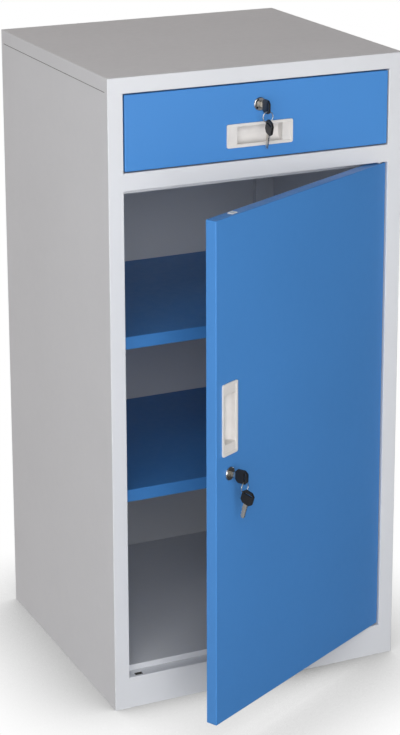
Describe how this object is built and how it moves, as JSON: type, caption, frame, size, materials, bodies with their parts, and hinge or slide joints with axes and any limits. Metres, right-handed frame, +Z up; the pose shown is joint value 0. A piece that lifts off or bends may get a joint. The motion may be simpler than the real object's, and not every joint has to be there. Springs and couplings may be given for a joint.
{
  "type": "storage cabinet",
  "caption": "Steel storage cabinet with a locking drawer over a cupboard with a hinged door and loose shelves.",
  "frame": {"origin": "middle of the cabinet's footprint, on the floor", "axes": "+Z up, +X to the right as seen from the front, +Y to the back"},
  "size_m": [0.5, 0.6897, 1.02],
  "materials": {
    "grey_paint": "fine-textured satin powder coat, light grey",
    "blue_paint": "fine-textured satin powder coat, mid blue",
    "zinc": "bright zinc plate",
    "chrome": "polished chrome plate",
    "plug_metal": "satin nickel plated die casting",
    "nickel": "nickel plated, worn",
    "grey_plastic": "moulded, fine spark texture, warm light grey",
    "black_plastic": "moulded, satin black",
    "white_nylon": "natural nylon",
    "rubber": "soft black rubber"
  },
  "bodies": {
    "cabinet": {"left_side_panel": "grey_paint", "right_side_panel": "grey_paint", "top_panel": "grey_paint", "back_panel": "grey_paint", "base_frame": "grey_paint", "floor_panel": "grey_paint", "partition_panel": "grey_paint", "bottom_rail": "grey_paint", "middle_rail": "grey_paint", "hinge_pins": "zinc", "right_rear_upright": "grey_paint", "left_rear_upright": "grey_paint", "right_front_upright": "grey_paint", "left_front_upright": "grey_paint", "shelf_clips": "zinc", "left_runner": "zinc", "right_runner": "zinc", "runner_brackets": "zinc"},
    "upper_shelf": {"upper_shelf": "blue_paint"},
    "lower_shelf": {"lower_shelf": "blue_paint"},
    "front_rollers": {"front_rollers": "white_nylon"},
    "drawer": {"drawer_front": "blue_paint", "drawer_inner_front": "grey_paint", "drawer_left_side": "grey_paint", "drawer_right_side": "grey_paint", "drawer_back": "grey_paint", "drawer_bottom": "grey_paint", "left_drawer_runner": "zinc", "right_drawer_runner": "zinc", "drawer_handle": "grey_plastic", "drawer_lock_housing": "chrome", "drawer_lock_nut": "zinc"},
    "rear_rollers": {"rear_rollers": "white_nylon"},
    "drawer_lock": {"drawer_lock_plug": "plug_metal", "drawer_lock_cam": "zinc", "drawer_cam_nut": "zinc"},
    "drawer_key": {"drawer_key_head": "black_plastic", "drawer_key_blade": "nickel"},
    "drawer_key_ring": {"drawer_key_ring": "nickel"},
    "drawer_spare_key": {"drawer_spare_key_head": "black_plastic", "drawer_spare_key_blade": "nickel"},
    "door": {"door_skin": "blue_paint", "door_stiffener": "blue_paint", "rod_guides": "white_nylon", "hinge_bushes": "white_nylon", "door_bumpers": "rubber", "door_handle": "grey_plastic", "door_lock_housing": "chrome", "door_lock_nut": "zinc"},
    "door_lock": {"door_lock_plug": "plug_metal", "door_lock_cam": "zinc", "door_cam_nut": "zinc"},
    "upper_rod": {"upper_rod": "zinc"},
    "lower_rod": {"lower_rod": "zinc"},
    "door_key": {"door_key_head": "black_plastic", "door_key_blade": "nickel"},
    "door_key_ring": {"door_key_ring": "nickel"},
    "door_spare_key": {"door_spare_key_head": "black_plastic", "door_spare_key_blade": "nickel"}
  },
  "joints": [
    {"name": "drawer_slide", "type": "slide", "parent": "cabinet", "child": "drawer", "axis": [0, -1, 0], "range_m": [0, 0.3]},
    {"name": "front_rollers_turn", "type": "hinge", "parent": "cabinet", "child": "front_rollers", "pos_m": [0, -0.19, 0.9018], "axis": [1, 0, 0], "range_deg": [0, 1640]},
    {"name": "rear_rollers_turn", "type": "hinge", "parent": "drawer", "child": "rear_rollers", "pos_m": [0, 0.169, 0.9018], "axis": [1, 0, 0], "range_deg": [0, 1640]},
    {"name": "drawer_lock_turn", "type": "hinge", "parent": "drawer", "child": "drawer_lock", "pos_m": [0, -0.23, 0.96], "axis": [0, -1, 0], "range_deg": [0, 90]},
    {"name": "drawer_key_pull", "type": "slide", "parent": "drawer_lock", "child": "drawer_key", "axis": [0, -1, 0], "range_m": [0, 0.03]},
    {"name": "drawer_ring_swing", "type": "hinge", "parent": "drawer_key", "child": "drawer_key_ring", "pos_m": [0, -0.2585, 0.9532], "axis": [1, 0, 0], "range_deg": [-60, 8]},
    {"name": "drawer_spare_swing", "type": "hinge", "parent": "drawer_key_ring", "child": "drawer_spare_key", "pos_m": [0, -0.2585, 0.9366], "axis": [1, 0, 0], "range_deg": [-60, 10]},
    {"name": "door_hinge", "type": "hinge", "parent": "cabinet", "child": "door", "pos_m": [0.213, -0.224, 0.449], "axis": [0, 0, 1], "range_deg": [-28, 82]},
    {"name": "door_lock_turn", "type": "hinge", "parent": "door", "child": "door_lock", "pos_m": [-0.14089, -0.41896, 0.452], "axis": [0.4695, -0.8829, 0], "range_deg": [0, 90]},
    {"name": "upper_rod_slide", "type": "slide", "parent": "door", "child": "upper_rod", "axis": [0, 0, 1], "range_m": [0, 0.015]},
    {"name": "lower_rod_slide", "type": "slide", "parent": "door", "child": "lower_rod", "axis": [0, 0, -1], "range_m": [0, 0.015]},
    {"name": "door_key_pull", "type": "slide", "parent": "door_lock", "child": "door_key", "axis": [0.4695, -0.8829, 0], "range_m": [0, 0.03]},
    {"name": "door_ring_swing", "type": "hinge", "parent": "door_key", "child": "door_key_ring", "pos_m": [-0.12751, -0.44413, 0.4452], "axis": [0.8829, 0.4695, 0], "range_deg": [-60, 8]},
    {"name": "door_spare_swing", "type": "hinge", "parent": "door_key_ring", "child": "door_spare_key", "pos_m": [-0.12751, -0.44413, 0.4286], "axis": [0.8829, 0.4695, 0], "range_deg": [-60, 10]},
    {"name": "upper_shelf_lift", "type": "slide", "parent": "cabinet", "child": "upper_shelf", "axis": [0, 0, 1], "range_m": [0, 0.05]},
    {"name": "lower_shelf_lift", "type": "slide", "parent": "cabinet", "child": "lower_shelf", "axis": [0, 0, 1], "range_m": [0, 0.05]}
  ],
  "couplings": [
    {"joint": "front_rollers_turn", "follows": "drawer_slide", "rad_per_m": 95.238},
    {"joint": "rear_rollers_turn", "follows": "drawer_slide", "rad_per_m": 95.238},
    {"joint": "upper_rod_slide", "follows": "door_lock_turn", "m_per_rad": 0.0095483},
    {"joint": "lower_rod_slide", "follows": "door_lock_turn", "m_per_rad": 0.0095483}
  ]
}
